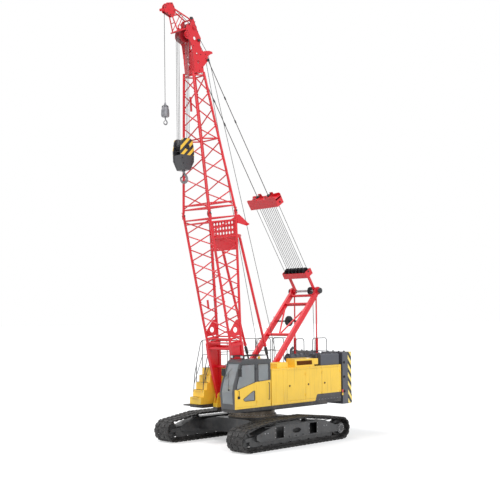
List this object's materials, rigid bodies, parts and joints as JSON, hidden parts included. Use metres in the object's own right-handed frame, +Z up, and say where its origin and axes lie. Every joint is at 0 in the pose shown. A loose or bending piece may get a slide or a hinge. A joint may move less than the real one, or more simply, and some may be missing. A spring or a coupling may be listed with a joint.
{
  "type": "crawler crane",
  "caption": "Crawler crane with a lattice boom on a slewing upper structure, rear gantry with stays, winches, side cab, stacked counterweight, main hook block and auxiliary hook.",
  "frame": {"origin": "on the ground under the slewing axis, at the middle of the tracks", "axes": "+Z up along the slewing axis, -Y the way the boom points at rest, +X across the machine towards the cab side"},
  "size_m": [5.03, 8.8749, 16.5594],
  "materials": {
    "undercarriage": "satin",
    "track_steel": "worn",
    "body_yellow": "gloss",
    "body_orange": "gloss",
    "boom_red": "gloss",
    "tail_grey": "satin",
    "dark_paint": "satin",
    "cab_grey": "satin",
    "bright_steel": "machined",
    "dark_steel": "satin",
    "rope_steel": "greased",
    "tinted_glass": "clear",
    "seat_fabric": "matt",
    "console_plastic": "matt"
  },
  "bodies": {
    "undercarriage": {"carbody": "undercarriage", "track_frame_left": "undercarriage", "track_frame_right": "undercarriage", "track_left": "track_steel", "track_right": "track_steel", "idlers": "undercarriage", "travel_drives": "undercarriage", "track_rollers": "undercarriage", "slew_ring_lower": "bright_steel"},
    "upper": {"slew_ring_upper": "bright_steel", "deck_frame": "body_yellow", "side_ledges": "dark_paint", "deck_pins": "bright_steel", "housing_left": "body_yellow", "housing_right": "body_yellow", "engine_block": "dark_paint", "hydraulic_tank": "body_yellow", "intake_hood": "body_yellow", "silencer": "dark_paint", "cooler_box": "dark_paint", "counterweight": "tail_grey", "cab_shell": "cab_grey", "cab_glass": "tinted_glass", "cab_seat": "seat_fabric", "cab_console": "console_plastic", "step_tank": "body_yellow", "gantry_legs": "boom_red", "gantry_struts": "boom_red", "gantry_sheaves": "dark_steel"},
    "front_hoist_drum": {"front_hoist_drum": "dark_steel"},
    "rear_hoist_drum": {"rear_hoist_drum": "dark_steel"},
    "luffing_drum": {"luffing_drum": "dark_steel"},
    "cab_door": {"cab_door": "cab_grey", "cab_door_glass": "tinted_glass"},
    "left_door_1": {"housing_door_left_1": "body_yellow"},
    "left_door_2": {"housing_door_left_2": "body_yellow"},
    "left_door_3": {"housing_door_left_3": "body_yellow"},
    "right_door_1": {"housing_door_right_1": "body_yellow"},
    "right_door_2": {"housing_door_right_2": "body_yellow"},
    "boom": {"boom_base_section": "boom_red", "boom_tip_section": "boom_red", "boom_pins": "bright_steel", "boom_head": "boom_red", "head_sheaves": "dark_steel", "auxiliary_head": "boom_red"},
    "backstop_barrels": {"backstop_barrels": "boom_red"},
    "backstop_rods": {"backstop_rods": "dark_paint"},
    "bail": {"bail": "boom_red", "bail_sheaves": "dark_steel"},
    "spreader": {"spreader": "boom_red", "spreader_sheaves": "dark_steel", "pendants": "rope_steel"},
    "main_falls": {"main_falls": "rope_steel"},
    "main_block": {"main_block": "dark_paint", "block_sheaves": "dark_steel"},
    "main_hook": {"main_hook": "dark_steel"},
    "auxiliary_fall": {"auxiliary_fall": "rope_steel"},
    "auxiliary_ball": {"auxiliary_ball": "dark_steel"},
    "auxiliary_hook": {"auxiliary_hook": "dark_steel"}
  },
  "joints": [
    {"name": "slew", "type": "hinge", "parent": "undercarriage", "child": "upper", "pos_m": [0, 0, 1.1], "axis": [0, 0, 1], "continuous": true},
    {"name": "boom_luff", "type": "hinge", "parent": "upper", "child": "boom", "pos_m": [0, -1.2, 1.8], "axis": [1, 0, 0], "range_deg": [0, 52]},
    {"name": "main_hang", "type": "hinge", "parent": "boom", "child": "main_falls", "pos_m": [0, -3.43918, 15.42012], "axis": [1, 0, 0], "range_deg": [-52, 0]},
    {"name": "main_hoist", "type": "slide", "parent": "main_falls", "child": "main_block", "axis": [0, 0, 1], "range_m": [-2.7, 1.3], "deforming": ["main_falls"]},
    {"name": "main_hook_swivel", "type": "hinge", "parent": "main_block", "child": "main_hook", "pos_m": [0, -3.43918, 10.4], "axis": [0, 0, 1], "continuous": true},
    {"name": "auxiliary_hang", "type": "hinge", "parent": "boom", "child": "auxiliary_fall", "pos_m": [0, -4.09, 16.29], "axis": [1, 0, 0], "range_deg": [-52, 0]},
    {"name": "auxiliary_hoist", "type": "slide", "parent": "auxiliary_fall", "child": "auxiliary_ball", "axis": [0, 0, 1], "range_m": [-3.8, 2.8], "deforming": ["auxiliary_fall"]},
    {"name": "auxiliary_hook_swivel", "type": "hinge", "parent": "auxiliary_ball", "child": "auxiliary_hook", "pos_m": [0, -4.29, 12.3], "axis": [0, 0, 1], "continuous": true},
    {"name": "stay_swing", "type": "hinge", "parent": "upper", "child": "bail", "pos_m": [0, 3.2, 5.95], "axis": [1, 0, 0], "range_deg": [0, 46.74]},
    {"name": "stay_reach", "type": "slide", "parent": "bail", "child": "spreader", "axis": [0, -0.5436, 0.8393], "range_m": [0, 5.1731]},
    {"name": "backstop_swing", "type": "hinge", "parent": "boom", "child": "backstop_barrels", "pos_m": [0, -1.14434, 8.02515], "axis": [1, 0, 0], "range_deg": [-5.71, 0]},
    {"name": "backstop_reach", "type": "slide", "parent": "backstop_barrels", "child": "backstop_rods", "axis": [0, 0.2969, -0.9549], "range_m": [0, 1.5295]},
    {"name": "front_hoist_drum_turn", "type": "hinge", "parent": "upper", "child": "front_hoist_drum", "pos_m": [0, 0.64, 2], "axis": [1, 0, 0], "continuous": true},
    {"name": "rear_hoist_drum_turn", "type": "hinge", "parent": "upper", "child": "rear_hoist_drum", "pos_m": [0, 1.5, 2.08], "axis": [1, 0, 0], "continuous": true},
    {"name": "luffing_drum_turn", "type": "hinge", "parent": "upper", "child": "luffing_drum", "pos_m": [0, 3.18, 2], "axis": [1, 0, 0], "continuous": true},
    {"name": "cab_door_hinge", "type": "hinge", "parent": "upper", "child": "cab_door", "pos_m": [1.545, -1.2625, 2.3], "axis": [0, 0, 1], "range_deg": [0, 95]},
    {"name": "left_door_1_hinge", "type": "hinge", "parent": "upper", "child": "left_door_1", "pos_m": [1.54, 1.4775, 2.19], "axis": [0, 0, 1], "range_deg": [0, 100]},
    {"name": "left_door_2_hinge", "type": "hinge", "parent": "upper", "child": "left_door_2", "pos_m": [1.54, 2.4625, 2.19], "axis": [0, 0, 1], "range_deg": [0, 100]},
    {"name": "left_door_3_hinge", "type": "hinge", "parent": "upper", "child": "left_door_3", "pos_m": [1.54, 3.5975, 2.19], "axis": [0, 0, 1], "range_deg": [0, 100]},
    {"name": "right_door_1_hinge", "type": "hinge", "parent": "upper", "child": "right_door_1", "pos_m": [-1.54, 1.8975, 2.19], "axis": [0, 0, -1], "range_deg": [0, 100]},
    {"name": "right_door_2_hinge", "type": "hinge", "parent": "upper", "child": "right_door_2", "pos_m": [-1.54, 3.5975, 2.19], "axis": [0, 0, -1], "range_deg": [0, 100]}
  ],
  "couplings": [
    {"joint": "main_hang", "follows": "boom_luff", "ratio": -1},
    {"joint": "auxiliary_hang", "follows": "boom_luff", "ratio": -1},
    {"joint": "stay_swing", "follows": "boom_luff", "ratio": 0.89871},
    {"joint": "stay_reach", "follows": "boom_luff", "m_per_rad": 5.6998},
    {"joint": "backstop_swing", "follows": "boom_luff", "ratio": -0.10968},
    {"joint": "backstop_reach", "follows": "boom_luff", "m_per_rad": 1.6851}
  ]
}
